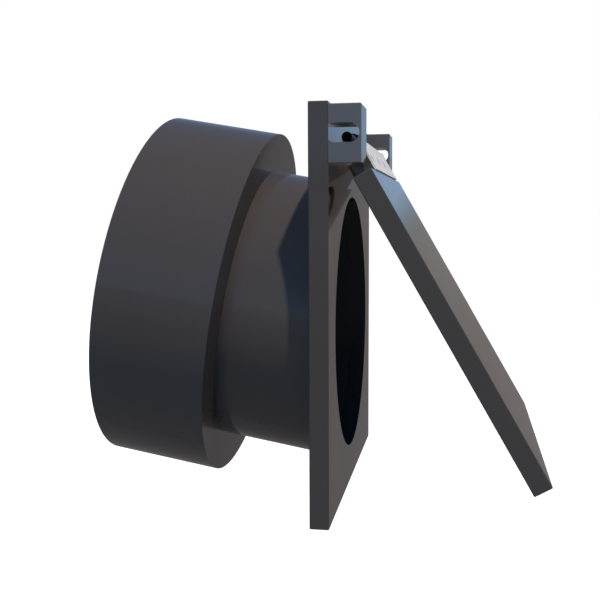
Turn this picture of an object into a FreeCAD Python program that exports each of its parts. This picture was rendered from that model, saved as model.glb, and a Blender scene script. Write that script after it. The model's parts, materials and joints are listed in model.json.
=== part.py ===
import FreeCAD, Part
import os
from math import cos, pi, radians, sin, tan

from FreeCAD import Placement, Rotation, Vector

# Flap valve for the outlet of a drain, fabricated from sheet and pipe of black plastic.
# The seat plate stands upright. X points out of the outlet, Y runs along the hinge, Z is up.
# Positions are first worked out from the centre of the round opening on the outlet face.
# Every solid is then moved so that the origin is the centre of the pipe stop in the socket.

# Pipe stub and socket ring, both on an axis that rises towards the inlet
pipe_tilt = 10.0
pipe_radius = 80.0
pipe_wall = 6.5
ring_wall = 22.0
ring_length = 62.0
ring_from_plate = 50.0
stub_seat_depth = 12.0
stub_seat_clearance = 0.05
pipe_stop_width = 4.0
socket_clearance = 0.6
mouth_chamfer = 2.0

# Seat plate: what stands outside its round opening, and its sheet
plate_above_bore = 44.5
plate_below_bore = 21.0
plate_beside_bore = 24.0
plate_thickness = 10.0
edge_break = 0.4

# Rubber ring of the socket
socket_groove_depth = 5.6
socket_groove_width = 10.0
socket_groove_from_mouth = 8.0
socket_seal_side_gap = 0.1
socket_seal_set_back = 0.05
socket_seal_lip_width = 4.0
socket_seal_heel_width = 1.8
socket_seal_shoulder = 2.6

# Hinge blocks: a slot between two arms, open towards the plate
block_depth = 16.0
block_width = 24.0
block_below_plate_top = 1.4
upper_arm = 9.1
slot_height = 9.4
lower_arm = 9.85
slot_end_wall = 0.9

# Hinge pin and its clips
pin_radius = 2.5
pin_floor_clearance = 0.05
pin_end_inset = 0.3
pin_end_chamfer = 0.5
clip_groove_depth = 0.4
clip_thickness = 0.7
clip_radius = 4.3
clip_bore_clearance = 0.02
clip_mouth = 3.4
clip_side_gap = 0.3
clip_groove_slack = 0.05
pin_cutter_margin = 1.0

# Flap, drawn closed and then swung open about the pin
flap_open_angle = 29.8
flap_thickness = 10.0
closed_gap = 1.7
pin_from_inner_face = 7.2
shoulder_below_pin = 18.6
tongue_side_gap = 1.5
tongue_above_pin = 1.5
tongue_round = 3.0

# Hinge leaf: sheet metal rolled round the pin
leaf_thickness = 0.9
eye_clearance = 0.06
eye_seat_clearance = 0.05
leaf_end_gap = 0.2
eye_slit = 0.8

# Flap seal
seal_outside_bore = 2.5
seal_width = 5.0
seal_groove_depth = 3.0
seal_side_gap = 0.05
seal_proud = 1.4

# Countersunk screws of the leaf
leaf_screw_count = 4
leaf_screw_from_end = 16.0
leaf_screw_below_pin = 11.0
leaf_screw_radius = 1.5
leaf_screw_head_radius = 2.5
leaf_screw_length = 8.0
leaf_screw_drive_radius = 1.0
leaf_screw_drive_depth = 1.2

# Socket head screws of the hinge blocks, sunk in the back of the plate
block_screw_radius = 2.0
block_screw_head_radius = 3.5
block_screw_head_height = 4.0
block_screw_length = 21.0
block_screw_drive_radius = 1.7
block_screw_drive_depth = 2.0
screw_clearance = 0.05
screw_head_sink = 0.05
drive_corners = 6
hole_mouth = 1.0

# Places that follow from the sizes above, seen from the centre of the opening
tilt = radians(pipe_tilt)
to_inlet = Vector(-cos(tilt), 0, sin(tilt))
stub_start = Vector(-plate_thickness, 0, plate_thickness * tan(tilt))
stub_end = ring_from_plate + stub_seat_depth
pipe_stop = stub_end + pipe_stop_width
ring_end = ring_from_plate + ring_length
ring_radius = pipe_radius + ring_wall
bore_radius = pipe_radius - pipe_wall
socket_radius = pipe_radius + socket_clearance
origin = stub_start + to_inlet * pipe_stop

plate_width = 2 * (bore_radius + plate_beside_bore)
plate_top = bore_radius + plate_above_bore
plate_bottom = -bore_radius - plate_below_bore
block_top = plate_top - block_below_plate_top
block_bottom = block_top - upper_arm - slot_height - lower_arm
slot_floor = block_bottom + lower_arm
block_outer_face = plate_width / 2
block_inner_face = block_outer_face - block_width

pin_x = closed_gap + pin_from_inner_face
pin_z = slot_floor + pin_floor_clearance + pin_radius
pin_half_length = plate_width / 2 - pin_end_inset
tongue_half_width = block_inner_face - tongue_side_gap
clip_inner_face = tongue_half_width + clip_side_gap
eye_inner_radius = pin_radius + eye_clearance
eye_outer_radius = eye_inner_radius + leaf_thickness
flap_outer_face = closed_gap + flap_thickness
leaf_seat_face = pin_x + eye_inner_radius
leaf_outer_face = pin_x + eye_outer_radius
shoulder_z = pin_z - shoulder_below_pin
leaf_screw_z = pin_z - leaf_screw_below_pin
leaf_screw_end_y = tongue_half_width - leaf_screw_from_end
seal_inner_radius = bore_radius + seal_outside_bore


def polygon(points):
    """A closed flat outline through the points, as a face."""
    return Part.Face(Part.makePolygon([*points, points[0]]))


def turned(profile, start, axis):
    """A ring turned from (radius, station) points about an axis that begins at start."""
    face = polygon([Vector(radius, 0, station) for radius, station in profile])
    ring = face.revolve(Vector(0, 0, 0), Vector(0, 0, 1), 360)
    ring.Placement = Placement(start, Rotation(Vector(0, 0, 1), axis))
    return ring


def along_y(profile, low, high):
    """A bar with an (x, z) outline that runs from y = low to y = high."""
    return polygon([Vector(x, low, z) for x, z in profile]).extrude(Vector(0, high - low, 0))


def rod_along_y(radius, low, high):
    """A rod on the hinge line."""
    return Part.makeCylinder(radius, high - low, Vector(pin_x, low, pin_z), Vector(0, 1, 0))


def box(low, high):
    size = high - low
    return Part.makeBox(size.x, size.y, size.z, low)


def edges_where(shape, test):
    """The edges whose middle passes the test."""
    return [edge for edge in shape.Edges if test(edge.BoundBox.Center)]


def screw(profile, drive_radius, drive_depth):
    """A screw turned from its profile, head at the origin, pointing along +Z, with a hexagon recess."""
    solid = turned(profile, Vector(0, 0, 0), Vector(0, 0, 1))
    turns = [2 * pi * k / drive_corners for k in range(drive_corners)]
    corners = [Vector(drive_radius * cos(turn), drive_radius * sin(turn), 0) for turn in turns]
    return solid.cut(polygon(corners).extrude(Vector(0, 0, drive_depth)))


def screw_hole(profile):
    """The screw's own profile, grown on all sides and open above the head."""
    grown = [(radius + screw_clearance if radius else 0, depth) for radius, depth in profile]
    grown[-2:] = [(radius, depth + screw_clearance) for radius, depth in grown[-2:]]
    mouth = [(0, -hole_mouth), (grown[1][0], -hole_mouth)]
    return turned(mouth + grown[1:], Vector(0, 0, 0), Vector(0, 0, 1))


def placed(shape, point, direction):
    shape.Placement = Placement(point, Rotation(Vector(0, 0, 1), direction))
    return shape


def leaf_screw_places():
    """The screws' centres on the closed leaf, in a row along the hinge."""
    pitch = 2 * leaf_screw_end_y / (leaf_screw_count - 1)
    x = leaf_outer_face - screw_head_sink
    return [Vector(x, k * pitch - leaf_screw_end_y, leaf_screw_z) for k in range(leaf_screw_count)]


def block_screw_places():
    """One screw for each arm of each block, entered from the back of the plate."""
    y = (block_outer_face + block_inner_face) / 2
    heights = {"upper": block_top - upper_arm / 2, "lower": block_bottom + lower_arm / 2}
    sides = {"near": -y, "far": y}
    x = -plate_thickness + screw_head_sink
    return {(side, arm): Vector(x, sides[side], heights[arm]) for side in sides for arm in heights}


def leaf_screw_profile():
    cone_depth = leaf_screw_head_radius - leaf_screw_radius
    return [
        (0, 0),
        (leaf_screw_head_radius, 0),
        (leaf_screw_radius, cone_depth),
        (leaf_screw_radius, leaf_screw_length),
        (0, leaf_screw_length),
    ]


def block_screw_profile():
    return [
        (0, 0),
        (block_screw_head_radius, 0),
        (block_screw_head_radius, block_screw_head_height),
        (block_screw_radius, block_screw_head_height),
        (block_screw_radius, block_screw_length),
        (0, block_screw_length),
    ]


def leaf_screw():
    return screw(leaf_screw_profile(), leaf_screw_drive_radius, leaf_screw_drive_depth)


def block_screw():
    return screw(block_screw_profile(), block_screw_drive_radius, block_screw_drive_depth)


def cut_screw_holes(shape, hole, places, direction):
    for place in places:
        shape = shape.cut(placed(hole.copy(), place, direction))
    return shape


def seat_plate():
    half = plate_width / 2
    plate = box(Vector(-plate_thickness, -half, plate_bottom), Vector(0, half, plate_top))
    plate = plate.makeChamfer(edge_break, plate.Edges)
    opening = Part.makeCylinder(
        bore_radius, plate_thickness, Vector(-plate_thickness, 0, 0), Vector(1, 0, 0)
    )
    plate = plate.cut(opening)
    hole = screw_hole(block_screw_profile())
    return cut_screw_holes(plate, hole, block_screw_places().values(), Vector(1, 0, 0))


def pipe_stub():
    """A pipe cut on the slant where it meets the back of the plate."""
    overrun = 2 * pipe_radius * tan(tilt)
    base = stub_start - to_inlet * overrun
    outer = Part.makeCylinder(pipe_radius, stub_end + overrun, base, to_inlet)
    inner = Part.makeCylinder(pipe_radius - pipe_wall, stub_end + overrun, base, to_inlet)
    reach = 2 * pipe_radius
    beyond = box(Vector(-plate_thickness, -reach, -reach), Vector(reach, reach, reach))
    return outer.cut(inner).cut(beyond)


def socket_ring():
    seat = pipe_radius + stub_seat_clearance
    inner = pipe_radius - pipe_wall
    groove_end = ring_end - socket_groove_from_mouth
    groove_start = groove_end - socket_groove_width
    groove = socket_radius + socket_groove_depth
    profile = [
        (ring_radius, ring_from_plate),
        (ring_radius, ring_end),
        (socket_radius + mouth_chamfer, ring_end),
        (socket_radius, ring_end - mouth_chamfer),
        (socket_radius, groove_end),
        (groove, groove_end),
        (groove, groove_start),
        (socket_radius, groove_start),
        (socket_radius, pipe_stop),
        (inner, pipe_stop),
        (inner, stub_end),
        (seat, stub_end),
        (seat, ring_from_plate),
    ]
    return turned(profile, stub_start, to_inlet)


def socket_seal():
    """Drawn as it lies with a pipe pushed in: a heel in the groove and a lip at the bore."""
    end = ring_end - socket_groove_from_mouth - socket_seal_side_gap
    start = end - socket_groove_width + 2 * socket_seal_side_gap
    back = socket_radius + socket_groove_depth
    lip = socket_radius + socket_seal_set_back
    shoulder = lip + socket_seal_shoulder
    profile = [
        (back, start),
        (back, end),
        (shoulder, end),
        (lip, end - socket_seal_heel_width),
        (lip, end - socket_seal_heel_width - socket_seal_lip_width),
        (shoulder, start),
    ]
    return turned(profile, stub_start, to_inlet)


def hinge_block(side):
    """Side is -1 for the near block and 1 for the far one."""
    low, high = sorted((side * block_inner_face, side * block_outer_face))
    block = box(Vector(0, low, block_bottom), Vector(block_depth, high, block_top))
    free = edges_where(block, lambda middle: middle.x > edge_break)
    block = block.makeChamfer(edge_break, free)
    end_radius = slot_height / 2
    straight = block_depth - slot_end_wall - end_radius
    slot = box(Vector(0, low, slot_floor), Vector(straight, high, slot_floor + slot_height))
    slot_end = Part.makeCylinder(
        end_radius, block_width, Vector(straight, low, slot_floor + end_radius), Vector(0, 1, 0)
    )
    block = block.cut(slot.fuse(slot_end))
    own = [place for place in block_screw_places().values() if place.y * side > 0]
    return cut_screw_holes(block, screw_hole(block_screw_profile()), own, Vector(1, 0, 0))


def hinge_pin():
    """A turned rod with a groove for each clip."""
    chamfer = pin_end_chamfer
    end = pin_half_length
    profile = [
        (0, -end),
        (pin_radius - chamfer, -end),
        (pin_radius, chamfer - end),
        (pin_radius, end - chamfer),
        (pin_radius - chamfer, end),
        (0, end),
    ]
    pin = turned(profile, Vector(pin_x, 0, pin_z), Vector(0, 1, 0))
    low = clip_inner_face - clip_groove_slack
    high = clip_inner_face + clip_thickness + clip_groove_slack
    for start, finish in ((low, high), (-high, -low)):
        groove = rod_along_y(pin_radius + pin_cutter_margin, start, finish)
        pin = pin.cut(groove.cut(rod_along_y(pin_radius - clip_groove_depth, start, finish)))
    return pin


def pin_clip(side):
    """An open spring clip, pushed on from above, so that its mouth is at the bottom."""
    low, high = sorted((side * clip_inner_face, side * (clip_inner_face + clip_thickness)))
    bore = pin_radius - clip_groove_depth + clip_bore_clearance
    clip = rod_along_y(clip_radius, low, high).cut(rod_along_y(bore, low, high))
    mouth = box(
        Vector(pin_x - clip_mouth / 2, low, pin_z - 2 * clip_radius),
        Vector(pin_x + clip_mouth / 2, high, pin_z),
    )
    return clip.cut(mouth)


def swung_open(shape):
    """Turns a piece of the closed flap about the pin to where the flap stands at rest."""
    shape = shape.copy()
    shape.rotate(Vector(pin_x, 0, pin_z), Vector(0, -1, 0), flap_open_angle)
    return shape


def flap_plate():
    half = plate_width / 2
    plate = box(
        Vector(closed_gap, -half, plate_bottom), Vector(flap_outer_face, half, shoulder_z)
    )
    plate = plate.makeChamfer(edge_break, plate.Edges)
    tongue = box(
        Vector(closed_gap, -tongue_half_width, shoulder_z - tongue_round),
        Vector(leaf_seat_face, tongue_half_width, pin_z + tongue_above_pin),
    )
    corner = edges_where(tongue, lambda p: p.x < closed_gap + edge_break and p.z > pin_z)
    tongue = tongue.makeFillet(tongue_round, corner)
    plate = plate.fuse(tongue).removeSplitter()
    plate = plate.cut(rod_along_y(eye_outer_radius + eye_seat_clearance, -half, half))
    groove = flap_ring(seal_inner_radius, seal_inner_radius + seal_width, seal_groove_depth)
    plate = plate.cut(groove)
    hole = screw_hole(leaf_screw_profile())
    plate = cut_screw_holes(plate, hole, leaf_screw_places(), Vector(-1, 0, 0))
    return swung_open(plate)


def flap_ring(inner, outer, depth):
    """A flat ring sunk in the closed flap's inner face, round the opening's axis."""
    profile = [(inner, 0), (outer, 0), (outer, depth), (inner, depth)]
    return turned(profile, Vector(closed_gap, 0, 0), Vector(1, 0, 0))


def flap_seal():
    """A rubber bead with a pointed lip that stands proud of its groove."""
    inner = seal_inner_radius + seal_side_gap
    outer = seal_inner_radius + seal_width - seal_side_gap
    profile = [
        (inner, 0),
        ((inner + outer) / 2, -seal_proud),
        (outer, 0),
        (outer, seal_groove_depth),
        (inner, seal_groove_depth),
    ]
    return swung_open(turned(profile, Vector(closed_gap, 0, 0), Vector(1, 0, 0)))


def hinge_leaf():
    """Sheet metal with an eye rolled round the pin and a slit where the roll ends."""
    half = tongue_half_width
    foot = shoulder_z + leaf_end_gap
    sheet = box(Vector(leaf_seat_face, -half, foot), Vector(leaf_outer_face, half, pin_z))
    leaf = sheet.fuse(rod_along_y(eye_outer_radius, -half, half)).removeSplitter()
    leaf = leaf.cut(rod_along_y(eye_inner_radius, -half, half))
    slit_top = pin_z - eye_inner_radius / 2
    slit = box(
        Vector(leaf_seat_face - eye_slit, -half, slit_top - 2 * leaf_thickness),
        Vector(leaf_seat_face, half, slit_top),
    )
    leaf = leaf.cut(slit)
    hole = screw_hole(leaf_screw_profile())
    leaf = cut_screw_holes(leaf, hole, leaf_screw_places(), Vector(-1, 0, 0))
    return swung_open(leaf)


def all_parts():
    """Every node's name and solid."""
    parts = {
        "seat_plate": seat_plate(),
        "pipe_stub": pipe_stub(),
        "socket_ring": socket_ring(),
        "socket_seal": socket_seal(),
        "hinge_block_near": hinge_block(-1),
        "hinge_block_far": hinge_block(1),
        "hinge_pin": hinge_pin(),
        "pin_clip_near": pin_clip(-1),
        "pin_clip_far": pin_clip(1),
        "flap_plate": flap_plate(),
        "flap_seal": flap_seal(),
        "hinge_leaf": hinge_leaf(),
    }
    for (side, arm), place in block_screw_places().items():
        parts[f"block_screw_{side}_{arm}"] = placed(block_screw(), place, Vector(1, 0, 0))
    for number, place in enumerate(leaf_screw_places(), start=1):
        screw = placed(leaf_screw(), place, Vector(-1, 0, 0))
        parts[f"leaf_screw_{number}"] = swung_open(screw)
    return parts


def main():
    os.makedirs("parts", exist_ok=True)
    for name, shape in all_parts().items():
        solid = shape.copy()
        solid.translate(-origin)
        solid.exportStep(f"parts/{name}.step")
        print(f"{name}: valid {solid.isValid()}, solids {len(solid.Solids)}, {solid.Volume:.1f} mm3")
    print(f"hinge line at x {pin_x - origin.x:.3f}, z {pin_z - origin.z:.3f}")


main()
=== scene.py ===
import json
import math

import bmesh
import bpy
from mathutils import Matrix, Vector


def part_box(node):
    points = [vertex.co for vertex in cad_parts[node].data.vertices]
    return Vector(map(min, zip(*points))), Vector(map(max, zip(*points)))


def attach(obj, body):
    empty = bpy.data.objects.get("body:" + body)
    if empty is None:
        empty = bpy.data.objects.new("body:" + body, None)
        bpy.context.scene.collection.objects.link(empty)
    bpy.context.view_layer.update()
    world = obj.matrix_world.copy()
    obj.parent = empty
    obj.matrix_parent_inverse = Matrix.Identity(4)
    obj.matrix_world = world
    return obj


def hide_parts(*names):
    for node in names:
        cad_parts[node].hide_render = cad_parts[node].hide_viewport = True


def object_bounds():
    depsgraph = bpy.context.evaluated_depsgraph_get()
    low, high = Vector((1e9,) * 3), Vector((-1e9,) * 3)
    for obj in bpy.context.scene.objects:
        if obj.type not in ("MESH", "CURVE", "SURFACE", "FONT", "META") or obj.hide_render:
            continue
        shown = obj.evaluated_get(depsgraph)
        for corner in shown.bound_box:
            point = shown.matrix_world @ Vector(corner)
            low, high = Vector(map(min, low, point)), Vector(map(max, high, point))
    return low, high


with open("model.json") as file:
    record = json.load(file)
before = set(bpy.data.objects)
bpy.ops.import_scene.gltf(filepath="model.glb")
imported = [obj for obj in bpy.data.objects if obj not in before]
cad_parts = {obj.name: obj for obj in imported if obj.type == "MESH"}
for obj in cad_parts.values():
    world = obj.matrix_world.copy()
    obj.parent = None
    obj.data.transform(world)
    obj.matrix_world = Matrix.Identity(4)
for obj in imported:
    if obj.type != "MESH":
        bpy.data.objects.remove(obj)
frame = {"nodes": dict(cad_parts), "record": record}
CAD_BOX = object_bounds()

bl_info = {
    "name": "Flap Valve Finishes",
    "version": (1, 0, 0),
    "blender": (4, 5, 0),
    "location": "View3D > Sidebar > Flap Valve",
    "description": "Finishes, studio and camera for the packed flap valve",
    "category": "Object",
}

MM = 0.001

# The pipe and its ring are turned about an axis that rises towards the inlet
PIPE_AXIS = Vector(frame["record"]["mounts"][0]["axis"])
PIPE_RISE = math.asin(PIPE_AXIS.z)

SIDES = ("near", "far")
ARMS = ("upper", "lower")
BLOCK_SCREWS = [f"block_screw_{side}_{arm}" for side in SIDES for arm in ARMS]
LEAF_SCREWS = sorted(name for name in frame["nodes"] if name.startswith("leaf_screw"))


def colour_property(name, description, default):
    return bpy.props.FloatVectorProperty(
        name=name, description=description, default=default,
        subtype="COLOR", size=3, min=0.0, max=1.0,
    )


def share_property(name, description, default):
    return bpy.props.FloatProperty(
        name=name, description=description, default=default,
        subtype="FACTOR", min=0.0, max=1.0,
    )


def length_property(name, description, default):
    return bpy.props.FloatProperty(
        name=name, description=description, default=default,
        subtype="DISTANCE", unit="LENGTH", min=0.0, precision=5,
    )


class PlasticSettings(bpy.types.PropertyGroup):
    """Colours and surface of the black plastic and the rubber"""

    sheet_colour: colour_property(
        "Sheet", "Colour of the seat plate and the flap", (0.0365, 0.035, 0.0355)
    )
    pipe_colour: colour_property(
        "Pipe", "Colour of the pipe stub and the socket ring", (0.036, 0.034, 0.037)
    )
    # The blocks' bluish tint is a painted sheen of the sky light that they reflect; under it lies their
    # dark grey plastic
    block_colour: colour_property(
        "Hinge blocks", "Colour of the slotted hinge blocks", (0.061, 0.067, 0.077)
    )
    rubber_colour: colour_property(
        "Rubber", "Colour of the flap seal and the socket seal", (0.010, 0.010, 0.011)
    )
    sheet_roughness: share_property("Sheet roughness", "Roughness of the plate and the flap", 0.045)
    pipe_roughness: share_property("Pipe roughness", "Roughness of the turned pipe and ring", 0.12)
    block_roughness: share_property("Block roughness", "Roughness of the hinge blocks", 0.10)
    grain_size: length_property("Grain size", "Size of the fine skin of the plastic", 0.4 * MM)
    mark_pitch: length_property("Tool mark pitch", "Pitch of the turned and sawn marks", 0.5 * MM)
    # The edge width is the width of the painted highlight along the sharp edges
    edge_width: length_property("Edge width", "Width of the rubbed edges", 0.35 * MM)


class MetalSettings(bpy.types.PropertyGroup):
    """Colours and surface of the hinge leaf, the pin and the screws"""

    leaf_colour: colour_property(
        "Leaf", "Colour of the stainless hinge leaf", (0.75, 0.74, 0.73)
    )
    pin_colour: colour_property(
        "Pin", "Colour of the blackened pin and its clips", (0.006, 0.006, 0.007)
    )
    screw_colour: colour_property(
        "Screws", "Colour of the stainless screws", (0.60, 0.60, 0.61)
    )
    leaf_roughness: share_property("Leaf roughness", "Roughness of the brushed leaf", 0.30)
    leaf_metallic: share_property("Leaf metal share", "How much of the satin leaf's look is metal", 0.45)
    brush_width: length_property("Brush width", "Width of the brushed lines", 0.12 * MM)


class StudioSettings(bpy.types.PropertyGroup):
    """Floor, lamps and camera"""

    floor_colour: colour_property("Floor", "Colour of the plain floor", (0.24, 0.24, 0.24))
    floor_size: length_property("Floor size", "Width of the floor", 8.0)
    floor_drop: length_property(
        "Floor drop", "How far the floor lies below the hanging valve", 0.30
    )
    lamp_level: bpy.props.FloatProperty(
        name="Lamp level", description="Scales the power of all the lamps",
        default=1.0, min=0.0, soft_max=4.0,
    )
    ambient_colour: colour_property(
        "Ambient", "Colour of the light from all round", (0.105, 0.29, 0.50)
    )
    camera_place: bpy.props.FloatVectorProperty(
        name="Camera place", description="Where the camera stands",
        default=(0.13838, -0.52622, 0.05052), subtype="TRANSLATION", unit="LENGTH", size=3,
    )
    camera_yaw: bpy.props.FloatProperty(
        name="Camera yaw", description="Turn of the view to the left of the hinge line",
        default=0.179, subtype="ANGLE", unit="ROTATION",
    )
    camera_pitch: bpy.props.FloatProperty(
        name="Camera pitch", description="Tilt of the view below the horizon",
        default=0.0962, subtype="ANGLE", unit="ROTATION",
    )
    camera_roll: bpy.props.FloatProperty(
        name="Camera roll", description="Turn of the camera about its view",
        default=-0.0053, subtype="ANGLE", unit="ROTATION",
    )
    camera_lens: bpy.props.FloatProperty(
        name="Camera lens", description="Focal length for a sensor 36 mm wide",
        default=53.34, subtype="DISTANCE_CAMERA", min=10.0,
    )


class Finish:
    """One procedural material, with short calls for the nodes that it needs"""

    def __init__(self, name, colour, roughness, **sockets):
        self.material = bpy.data.materials.new(name)
        self.material.use_nodes = True
        self.material.diffuse_color = (*colour, 1.0)
        self.tree = self.material.node_tree
        self.shader = self.tree.nodes["Principled BSDF"]
        self.shader.inputs["Roughness"].default_value = roughness
        for socket, value in sockets.items():
            self.shader.inputs[socket.replace("_", " ")].default_value = value
        self.place = self.node("ShaderNodeTexCoord").outputs["Object"]

    def node(self, kind, **settings):
        made = self.tree.nodes.new(kind)
        for key, value in settings.items():
            setattr(made, key, value)
        return made

    def join(self, output, socket):
        self.tree.links.new(output, socket)

    def mapped(self, scale, turn=(0.0, 0.0, 0.0)):
        """The place in the piece, turned and stretched for a grain that runs one way."""
        mapping = self.node("ShaderNodeMapping")
        mapping.inputs["Rotation"].default_value = turn
        mapping.inputs["Scale"].default_value = scale
        self.join(self.place, mapping.inputs["Vector"])
        return mapping.outputs["Vector"]

    def noise(self, vector, scale=1.0, detail=3.0, roughness=0.5):
        made = self.node("ShaderNodeTexNoise")
        made.inputs["Scale"].default_value = scale
        made.inputs["Detail"].default_value = detail
        made.inputs["Roughness"].default_value = roughness
        self.join(vector, made.inputs["Vector"])
        return made.outputs["Fac"]

    def ranged(self, value, low, high, start=0.3, end=0.7):
        """Maps a value that runs from start to end onto low to high."""
        made = self.node("ShaderNodeMapRange")
        for socket, number in zip(("From Min", "From Max", "To Min", "To Max"), (start, end, low, high)):
            made.inputs[socket].default_value = number
        self.join(value, made.inputs["Value"])
        return made.outputs["Result"]

    def math(self, operation, first, second):
        made = self.node("ShaderNodeMath", operation=operation)
        for socket, value in zip(made.inputs, (first, second)):
            if isinstance(value, (int, float)):
                socket.default_value = value
            else:
                self.join(value, socket)
        return made.outputs["Value"]

    def mixed(self, factor, first, second):
        """A colour between two, each given as numbers or as an output."""
        made = self.node("ShaderNodeMix", data_type="RGBA", clamp_factor=True)
        self.join(factor, made.inputs["Factor"])
        for socket, value in (("A", first), ("B", second)):
            slot = next(s for s in made.inputs if s.name == socket and s.type == "RGBA")
            if isinstance(value, (tuple, list)):
                slot.default_value = (*value, 1.0)
            else:
                self.join(value, slot)
        return next(s for s in made.outputs if s.type == "RGBA")

    def worn_edge(self, width):
        """Runs from 0 on the faces to 1 at the sharp edges: the mask of the painted highlight along them.
        """
        rounded = self.node("ShaderNodeBevel", samples=6)
        rounded.inputs["Radius"].default_value = width
        facing = self.node("ShaderNodeNewGeometry").outputs["Normal"]
        product = self.node("ShaderNodeVectorMath", operation="DOT_PRODUCT")
        self.join(rounded.outputs["Normal"], product.inputs[0])
        self.join(facing, product.inputs[1])
        return self.ranged(product.outputs["Value"], 1.0, 0.0, 0.80, 0.99)

    def paint(self, colour):
        self.join(colour, self.shader.inputs["Base Color"])

    def dull(self, roughness):
        self.join(roughness, self.shader.inputs["Roughness"])

    def raise_surface(self, *layers):
        """Adds up layers of (height from 0 to 1, depth in metres) as bumps."""
        normal = None
        for height, depth in layers:
            bump = self.node("ShaderNodeBump")
            bump.inputs["Strength"].default_value = 1.0
            bump.inputs["Distance"].default_value = depth
            self.join(height, bump.inputs["Height"])
            if normal is not None:
                self.join(normal, bump.inputs["Normal"])
            normal = bump.outputs["Normal"]
        self.join(normal, self.shader.inputs["Normal"])


def shaded(colour, share):
    return tuple(min(1.0, channel * share) for channel in colour)


# Refraction of the plastic and the rubber
PLASTIC_IOR = 1.45
SKIN_DEPTH = 0.0006 * MM
MARK_DEPTH = 0.0010 * MM
# Noise scales, in cells to the metre, of the cloudy tints and of the rubber's dust
PLASTIC_CLOUDS = 14.0
METAL_CLOUDS = 30.0
RUBBER_DUST = 45.0
RUBBER_GRAIN_DEPTH = 0.02 * MM
RUBBER_ROUGHNESS = 0.75
RUBBER_SMOOTHEST, RUBBER_ROUGHEST = 0.68, 0.84
# How dark and how light the plastic's tint runs, and its share at tool marks and in the painted highlight
# along the sharp edges
TINT_DARK, TINT_LIGHT = 0.93, 1.08
MARK_TINT, MARK_SHARE = 1.12, 0.35
EDGE_HIGHLIGHT_TINT, EDGE_HIGHLIGHT_SHARE = 1.9, 0.5
# How far the roughness strays, as a share of itself and by the tool marks
PATCH_SMOOTH, PATCH_ROUGH = 0.94, 1.06
STREAK_SMOOTH, STREAK_ROUGH = -0.01, 0.015
BRUSH_ANISOTROPY = 0.35
PIN_ROUGHNESS = 0.35
SCREW_ROUGHNESS = 0.3


def plastic_finish(name, colour, roughness, marks, settings):
    """Black plastic: cloudy colour, a fine skin, tool marks given as a stretched place, a painted
    highlight along the sharp edges.
    """
    finish = Finish(name, colour, roughness, IOR=PLASTIC_IOR)
    grain = 1.0 / settings.grain_size
    cloud = finish.noise(finish.place, scale=PLASTIC_CLOUDS, detail=4.0)
    skin = finish.noise(finish.place, scale=grain, detail=2.0)
    tool = finish.noise(finish.mapped(*marks), detail=3.0, roughness=0.6)
    edge = finish.worn_edge(settings.edge_width)
    body = finish.mixed(cloud, shaded(colour, TINT_DARK), shaded(colour, TINT_LIGHT))
    body = finish.mixed(finish.ranged(tool, 0.0, MARK_SHARE), body, shaded(colour, MARK_TINT))
    # A lighter colour painted along the sharp edges: a painted highlight
    highlit = finish.math("MULTIPLY", edge, EDGE_HIGHLIGHT_SHARE)
    finish.paint(finish.mixed(highlit, body, shaded(colour, EDGE_HIGHLIGHT_TINT)))
    patches = finish.ranged(cloud, roughness * PATCH_SMOOTH, roughness * PATCH_ROUGH)
    streaks = finish.ranged(tool, STREAK_SMOOTH, STREAK_ROUGH)
    finish.dull(finish.math("ADD", patches, streaks))
    finish.raise_surface((skin, SKIN_DEPTH), (tool, MARK_DEPTH))
    return finish.material


def rubber_finish(name, colour, settings):
    """Matt moulded rubber with a little dust in its grain."""
    finish = Finish(name, colour, RUBBER_ROUGHNESS, IOR=PLASTIC_IOR)
    grain = finish.noise(finish.place, scale=1.0 / settings.grain_size, detail=4.0)
    dust = finish.noise(finish.place, scale=RUBBER_DUST, detail=5.0, roughness=0.65)
    dusty = finish.ranged(dust, 0.0, 1.0, 0.5, 0.75)
    body = finish.mixed(dusty, shaded(colour, 0.9), shaded(colour, 1.7))
    finish.paint(finish.mixed(finish.ranged(grain, 0.0, 0.4), body, shaded(colour, 1.4)))
    finish.dull(finish.ranged(dust, RUBBER_SMOOTHEST, RUBBER_ROUGHEST))
    finish.raise_surface((grain, RUBBER_GRAIN_DEPTH))
    return finish.material


def brushed_finish(name, colour, roughness, brush, width, metallic=1.0):
    """Metal with fine lines: brush is the place stretched along the lines."""
    finish = Finish(
        name, colour, roughness,
        Metallic=metallic, Anisotropic=BRUSH_ANISOTROPY, Specular_IOR_Level=0.0,
    )
    lines = finish.noise(finish.mapped(*brush), detail=4.0, roughness=0.7)
    cloud = finish.noise(finish.place, scale=METAL_CLOUDS, detail=3.0)
    body = finish.mixed(finish.ranged(lines, 0.0, 1.0), shaded(colour, 0.92), shaded(colour, 1.04))
    finish.paint(finish.mixed(finish.ranged(cloud, 0.0, 0.3), body, shaded(colour, 0.88)))
    finish.dull(finish.ranged(lines, roughness * 0.85, roughness * 1.15))
    finish.raise_surface((lines, width / 40))
    return finish.material


def cover(names, material):
    """Gives CAD nodes a material in place of their plain one."""
    for name in names:
        piece = frame["nodes"][name]
        piece.data.materials.clear()
        piece.data.materials.append(material)
        if piece.data.materials[0] is not material:
            raise RuntimeError(f"{name} didn't take its finish")


class FLAPVALVE_OT_sheet(bpy.types.Operator):
    """Give the seat plate and the flap their sawn black sheet"""

    bl_idname = "flap_valve.sheet"
    bl_label = "Seat Plate and Flap"

    def execute(self, context):
        settings = context.scene.flap_valve_plastic
        across = 1.0 / settings.mark_pitch
        marks = ((across, across * 0.02, across * 0.02),)
        cover(
            ["seat_plate", "flap_plate"],
            plastic_finish(
                "sheet_plastic", tuple(settings.sheet_colour), settings.sheet_roughness, marks, settings,
            ),
        )
        return {"FINISHED"}


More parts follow.
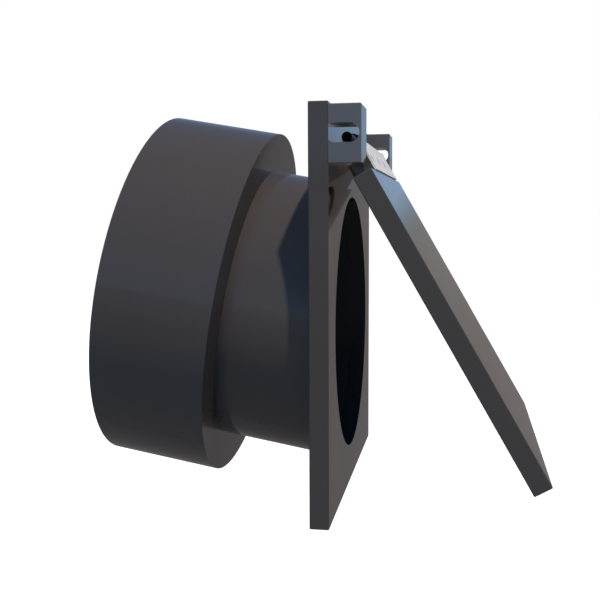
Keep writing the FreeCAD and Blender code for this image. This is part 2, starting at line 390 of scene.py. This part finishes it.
class FLAPVALVE_OT_pipe(bpy.types.Operator):
    """Give the pipe stub and the socket ring their turned black plastic"""

    bl_idname = "flap_valve.pipe"
    bl_label = "Pipe Stub and Ring"

    def execute(self, context):
        settings = context.scene.flap_valve_plastic
        along = 1.0 / settings.mark_pitch
        marks = ((along, along * 0.01, along * 0.01), (0.0, PIPE_RISE, 0.0))
        cover(
            ["pipe_stub", "socket_ring"],
            plastic_finish(
                "pipe_plastic", tuple(settings.pipe_colour), settings.pipe_roughness, marks, settings,
            ),
        )
        return {"FINISHED"}


class FLAPVALVE_OT_blocks(bpy.types.Operator):
    """Give the slotted hinge blocks their milled plastic"""

    bl_idname = "flap_valve.blocks"
    bl_label = "Hinge Blocks"

    def execute(self, context):
        settings = context.scene.flap_valve_plastic
        across = 1.0 / settings.mark_pitch
        marks = ((across * 0.05, across, across),)
        cover(
            [f"hinge_block_{side}" for side in SIDES],
            plastic_finish(
                "block_plastic", tuple(settings.block_colour), settings.block_roughness, marks, settings,
            ),
        )
        return {"FINISHED"}


class FLAPVALVE_OT_seals(bpy.types.Operator):
    """Give the flap seal and the socket seal their matt rubber"""

    bl_idname = "flap_valve.seals"
    bl_label = "Rubber Seals"

    def execute(self, context):
        settings = context.scene.flap_valve_plastic
        cover(
            ["flap_seal", "socket_seal"],
            rubber_finish("seal_rubber", tuple(settings.rubber_colour), settings),
        )
        return {"FINISHED"}


class FLAPVALVE_OT_leaf(bpy.types.Operator):
    """Give the rolled hinge leaf its brushed stainless sheet"""

    bl_idname = "flap_valve.leaf"
    bl_label = "Hinge Leaf"

    def execute(self, context):
        settings = context.scene.flap_valve_metal
        line = 1.0 / settings.brush_width
        cover(
            ["hinge_leaf"],
            brushed_finish(
                "leaf_steel", tuple(settings.leaf_colour), settings.leaf_roughness,
                ((line, line * 0.01, line),), settings.brush_width, settings.leaf_metallic,
            ),
        )
        return {"FINISHED"}


# The snap ring drawn for each clip: open at the bottom, and smaller than the clip in the frame
RING_INNER = 2.12 * MM
RING_OUTER = 3.6 * MM
RING_EDGE = 0.15 * MM
RING_HALF_MOUTH = math.radians(50)
RING_STEPS = 48
RING_SHARP_ANGLE = math.radians(35)


def ring_section(width, thickness):
    """The wire's rectangle with its corners cut, as (outward, along the pin) from its middle."""
    across, along = width / 2, thickness / 2
    right = [(across, along - RING_EDGE), (across - RING_EDGE, along)]
    left = [(-x, y) for x, y in reversed(right)]
    return right + left + [(-x, -y) for x, y in right + left]


def make_ring(side):
    """A flat snap ring in the pin's groove, where the frame has the clip."""
    node = f"pin_clip_{side}"
    low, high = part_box(node)
    pin_low, pin_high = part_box("hinge_pin")
    pin_x, pin_z = ((pin_low[axis] + pin_high[axis]) / 2 for axis in (0, 2))
    middle_y, thickness = (low[1] + high[1]) / 2, high[1] - low[1]
    section = ring_section(RING_OUTER - RING_INNER, thickness)
    wire_radius = (RING_INNER + RING_OUTER) / 2
    shell = bmesh.new()
    rows = []
    for step in range(RING_STEPS + 1):
        turn = (step / RING_STEPS * 2 - 1) * (math.pi - RING_HALF_MOUTH)
        rows.append([
            shell.verts.new((
                pin_x + (wire_radius + out) * math.sin(turn),
                middle_y + along,
                pin_z + (wire_radius + out) * math.cos(turn),
            ))
            for out, along in section
        ])
    count = len(section)
    for first, second in zip(rows, rows[1:]):
        for k in range(count):
            after = (k + 1) % count
            shell.faces.new((first[k], first[after], second[after], second[k]))
    shell.faces.new(rows[0])
    shell.faces.new(rows[-1])
    bmesh.ops.recalc_face_normals(shell, faces=shell.faces)
    mesh = bpy.data.meshes.new(f"snap_ring_{side}")
    shell.to_mesh(mesh)
    shell.free()
    for face in mesh.polygons:
        face.use_smooth = True
    mesh.set_sharp_from_angle(angle=RING_SHARP_ANGLE)
    ring = bpy.data.objects.new(f"snap_ring_{side}", mesh)
    bpy.context.scene.collection.objects.link(ring)
    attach(ring, "pin")
    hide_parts(node)
    return ring


class FLAPVALVE_OT_pin(bpy.types.Operator):
    """Give the floating pin its blackened steel, and draw its snap rings"""

    bl_idname = "flap_valve.pin"
    bl_label = "Pin and Snap Rings"

    def execute(self, context):
        settings = context.scene.flap_valve_metal
        line = 1.0 / settings.brush_width
        steel = brushed_finish(
            "pin_steel", tuple(settings.pin_colour), PIN_ROUGHNESS,
            ((line, line * 0.3, line),), settings.brush_width,
        )
        cover(["hinge_pin"] + [f"pin_clip_{side}" for side in SIDES], steel)
        for side in SIDES:
            make_ring(side).data.materials.append(steel)
        return {"FINISHED"}


class FLAPVALVE_OT_screws(bpy.types.Operator):
    """Give the leaf screws and the block screws their stainless steel"""

    bl_idname = "flap_valve.screws"
    bl_label = "Screws"

    def execute(self, context):
        settings = context.scene.flap_valve_metal
        line = 1.0 / settings.brush_width
        cover(
            BLOCK_SCREWS + LEAF_SCREWS,
            brushed_finish(
                "screw_steel", tuple(settings.screw_colour), SCREW_ROUGHNESS,
                ((line * 0.2, line, line * 0.4),), settings.brush_width,
            ),
        )
        return {"FINISHED"}


# Name, where it stands seen from the valve's middle, width, colour and power in watts
LAMPS = (
    ("key_lamp", (0.65, -0.91, 2.34), 0.09, (1.00, 0.82, 0.62), 112.0),
    ("fill_lamp", (-0.2, -2.2, -0.1), 0.5, (0.75, 0.85, 1.00), 13.5),
    ("back_lamp", (-1.7, 1.8, 0.9), 1.2, (1.00, 0.88, 0.74), 60.0),
)

# What gloss shows of the studio: the sine of the height above the horizon, and the colour there
DOME_BANDS = (
    (-1.0, (0.15, 0.14, 0.14)),
    (-0.3, (0.195, 0.178, 0.180)),
    (-0.1, (0.197, 0.174, 0.170)),
    (0.0, (0.215, 0.20, 0.20)),
    (0.045, (0.215, 0.21, 0.21)),
    (0.062, (0.21, 0.26, 0.32)),
    (0.085, (0.28, 0.39, 0.54)),
    (0.12, (0.29, 0.42, 0.62)),
    (0.20, (0.22, 0.31, 0.47)),
    (0.55, (0.10, 0.155, 0.30)),
    (1.0, (0.16, 0.18, 0.24)),
)
DOME_RADIUS = 4.0
DOME_SEGMENTS, DOME_RINGS = 64, 48
# How far down to the floor the dome's flat foot lies
DOME_FOOT_SHARE = 0.95
# Light of its own that brings the pale floor up to white: less round the valve, for its shadow
FLOOR_LIFT_NEAR, FLOOR_LIFT_FAR = 0.80, 1.0
FLOOR_NEAR, FLOOR_FAR = 0.5, 1.1
FLOOR_ROUGHNESS = 0.9


def shows_white(tree):
    """1 for camera, glossy and transmission rays; the dome stands in the way of the glossy ones."""
    path = tree.nodes.new("ShaderNodeLightPath")
    seen = path.outputs["Is Camera Ray"]
    for name in ("Is Glossy Ray", "Is Transmission Ray"):
        either = tree.nodes.new("ShaderNodeMath")
        either.operation = "MAXIMUM"
        tree.links.new(seen, either.inputs[0])
        tree.links.new(path.outputs[name], either.inputs[1])
        seen = either.outputs["Value"]
    return seen


def make_world(settings):
    world = bpy.data.worlds.new("studio_world")
    world.use_nodes = True
    tree = world.node_tree
    ambient = tree.nodes["Background"]
    ambient.inputs["Color"].default_value = (*settings.ambient_colour, 1.0)
    white = tree.nodes.new("ShaderNodeBackground")
    white.inputs["Color"].default_value = (1.0, 1.0, 1.0, 1.0)
    mix = tree.nodes.new("ShaderNodeMixShader")
    tree.links.new(shows_white(tree), mix.inputs["Fac"])
    tree.links.new(ambient.outputs["Background"], mix.inputs[1])
    tree.links.new(white.outputs["Background"], mix.inputs[2])
    tree.links.new(mix.outputs["Shader"], tree.nodes["World Output"].inputs["Surface"])
    return world


def make_floor(settings):
    """A plain pale floor whose own light brings it up to white and leaves the shadow."""
    half = settings.floor_size / 2
    height = CAD_BOX[0][2] - settings.floor_drop
    mesh = bpy.data.meshes.new("floor")
    corners = [(x, y, 0.0) for x, y in ((-half, -half), (half, -half), (half, half), (-half, half))]
    mesh.from_pydata(corners, [], [(0, 1, 2, 3)])
    floor = bpy.data.objects.new("floor", mesh)
    floor.location.z = height
    bpy.context.scene.collection.objects.link(floor)
    material = bpy.data.materials.new("pale_floor")
    material.use_nodes = True
    tree = material.node_tree
    shader = tree.nodes["Principled BSDF"]
    shader.inputs["Base Color"].default_value = (*settings.floor_colour, 1.0)
    shader.inputs["Roughness"].default_value = FLOOR_ROUGHNESS
    shader.inputs["Specular IOR Level"].default_value = 0.0
    shader.inputs["Emission Color"].default_value = (1.0, 1.0, 1.0, 1.0)
    place = tree.nodes.new("ShaderNodeTexCoord")
    away = tree.nodes.new("ShaderNodeVectorMath")
    away.operation = "LENGTH"
    level = tree.nodes.new("ShaderNodeMapRange")
    level.inputs["From Min"].default_value = FLOOR_NEAR
    level.inputs["From Max"].default_value = FLOOR_FAR
    level.inputs["To Min"].default_value = FLOOR_LIFT_NEAR
    level.inputs["To Max"].default_value = FLOOR_LIFT_FAR
    lift = tree.nodes.new("ShaderNodeMath")
    lift.operation = "MULTIPLY"
    tree.links.new(place.outputs["Object"], away.inputs[0])
    tree.links.new(away.outputs["Value"], level.inputs["Value"])
    tree.links.new(level.outputs["Result"], lift.inputs[1])
    tree.links.new(shows_white(tree), lift.inputs[0])
    tree.links.new(lift.outputs["Value"], shader.inputs["Emission Strength"])
    mesh.materials.append(material)
    return floor


def make_dome(settings):
    """A dome with a flat foot just above the floor, seen by gloss alone, which hides the white from it."""
    foot = CAD_BOX[0][2] - settings.floor_drop * DOME_FOOT_SHARE
    shell = bmesh.new()
    bmesh.ops.create_uvsphere(
        shell, u_segments=DOME_SEGMENTS, v_segments=DOME_RINGS, radius=DOME_RADIUS,
    )
    for corner in shell.verts:
        corner.co.z = max(corner.co.z, foot)
    mesh = bpy.data.meshes.new("studio_dome")
    shell.to_mesh(mesh)
    shell.free()
    dome = bpy.data.objects.new("studio_dome", mesh)
    bpy.context.scene.collection.objects.link(dome)
    for kind in ("camera", "diffuse", "shadow", "transmission", "volume_scatter"):
        setattr(dome, f"visible_{kind}", False)
    material = bpy.data.materials.new("studio_dome")
    material.use_nodes = True
    tree = material.node_tree
    tree.nodes.clear()
    place = tree.nodes.new("ShaderNodeTexCoord")
    direction = tree.nodes.new("ShaderNodeVectorMath")
    direction.operation = "NORMALIZE"
    split = tree.nodes.new("ShaderNodeSeparateXYZ")
    height = tree.nodes.new("ShaderNodeMapRange")
    height.inputs["From Min"].default_value = -1.0
    ramp = tree.nodes.new("ShaderNodeValToRGB")
    glow = tree.nodes.new("ShaderNodeEmission")
    output = tree.nodes.new("ShaderNodeOutputMaterial")
    stops = ramp.color_ramp.elements
    while len(stops) < len(DOME_BANDS):
        stops.new(1.0)
    for stop, (level, colour) in zip(stops, DOME_BANDS):
        stop.position = (level + 1) / 2
        stop.color = (*colour, 1.0)
    tree.links.new(place.outputs["Object"], direction.inputs[0])
    tree.links.new(direction.outputs["Vector"], split.inputs["Vector"])
    tree.links.new(split.outputs["Z"], height.inputs["Value"])
    tree.links.new(height.outputs["Result"], ramp.inputs["Fac"])
    tree.links.new(ramp.outputs["Color"], glow.inputs["Color"])
    tree.links.new(glow.outputs["Emission"], output.inputs["Surface"])
    mesh.materials.append(material)
    return dome


def make_lamp(name, place, width, colour, power, middle):
    lamp = bpy.data.lights.new(name, "AREA")
    lamp.shape = "DISK"
    lamp.size = width
    lamp.color = colour
    lamp.energy = power
    holder = bpy.data.objects.new(name, lamp)
    holder.location = middle + Vector(place)
    holder.rotation_euler = Vector(place).to_track_quat("Z", "Y").to_euler()
    holder.visible_camera = False
    holder.visible_glossy = False
    bpy.context.scene.collection.objects.link(holder)
    return holder


SENSOR_WIDTH = 36.0
NEAREST_SEEN = 0.01


def make_camera(settings):
    yaw, pitch, roll = settings.camera_yaw, settings.camera_pitch, settings.camera_roll
    ahead = Vector((-math.sin(yaw) * math.cos(pitch), math.cos(yaw) * math.cos(pitch), -math.sin(pitch)))
    level = Vector((math.cos(yaw), math.sin(yaw), 0.0))
    above = level.cross(ahead)
    right = level * math.cos(roll) + above * math.sin(roll)
    up = above * math.cos(roll) - level * math.sin(roll)
    lens = bpy.data.cameras.new("camera")
    lens.sensor_width = SENSOR_WIDTH
    lens.lens = settings.camera_lens
    lens.clip_start = NEAREST_SEEN
    camera = bpy.data.objects.new("camera", lens)
    bpy.context.scene.collection.objects.link(camera)
    turned = Matrix((right, up, -ahead)).transposed().to_4x4()
    camera.matrix_world = Matrix.Translation(settings.camera_place) @ turned
    bpy.context.scene.camera = camera
    return camera


class FLAPVALVE_OT_stage(bpy.types.Operator):
    """Set up the pale floor, the lamps, the dome that gloss sees, the white background and the camera"""

    bl_idname = "flap_valve.stage"
    bl_label = "Studio"

    def execute(self, context):
        settings = context.scene.flap_valve_studio
        low, high = (Vector(corner) for corner in CAD_BOX)
        context.scene.world = make_world(settings)
        make_floor(settings)
        make_dome(settings)
        for name, place, width, colour, power in LAMPS:
            make_lamp(name, place, width, colour, power * settings.lamp_level, (low + high) / 2)
        make_camera(settings)
        context.scene.view_settings.view_transform = "Standard"
        return {"FINISHED"}


OPERATORS = (
    FLAPVALVE_OT_stage,
    FLAPVALVE_OT_sheet,
    FLAPVALVE_OT_pipe,
    FLAPVALVE_OT_blocks,
    FLAPVALVE_OT_seals,
    FLAPVALVE_OT_leaf,
    FLAPVALVE_OT_pin,
    FLAPVALVE_OT_screws,
)

SETTINGS = {
    "flap_valve_plastic": PlasticSettings,
    "flap_valve_metal": MetalSettings,
    "flap_valve_studio": StudioSettings,
}


class FLAPVALVE_PT_sidebar(bpy.types.Panel):
    """Lists the flap valve's settings and steps in the sidebar"""

    bl_idname = "FLAPVALVE_PT_sidebar"
    bl_label = "Flap Valve"
    bl_space_type = "VIEW_3D"
    bl_region_type = "UI"
    bl_category = "Flap Valve"

    def draw(self, context):
        for name, group in SETTINGS.items():
            column = self.layout.column(heading=group.__name__)
            for key in group.__annotations__:
                column.prop(getattr(context.scene, name), key)
        for operator in OPERATORS:
            self.layout.operator(operator.bl_idname)


def register():
    for group in SETTINGS.values():
        bpy.utils.register_class(group)
    for name, group in SETTINGS.items():
        setattr(bpy.types.Scene, name, bpy.props.PointerProperty(type=group))
    for operator in OPERATORS:
        bpy.utils.register_class(operator)
    bpy.utils.register_class(FLAPVALVE_PT_sidebar)


def unregister():
    bpy.utils.unregister_class(FLAPVALVE_PT_sidebar)
    for operator in reversed(OPERATORS):
        bpy.utils.unregister_class(operator)
    for name, group in SETTINGS.items():
        delattr(bpy.types.Scene, name)
        bpy.utils.unregister_class(group)


def main():
    register()
    for operator in OPERATORS:
        step = operator.bl_idname.split(".")[1]
        getattr(bpy.ops.flap_valve, step)()


if __name__ == "__main__":
    main()
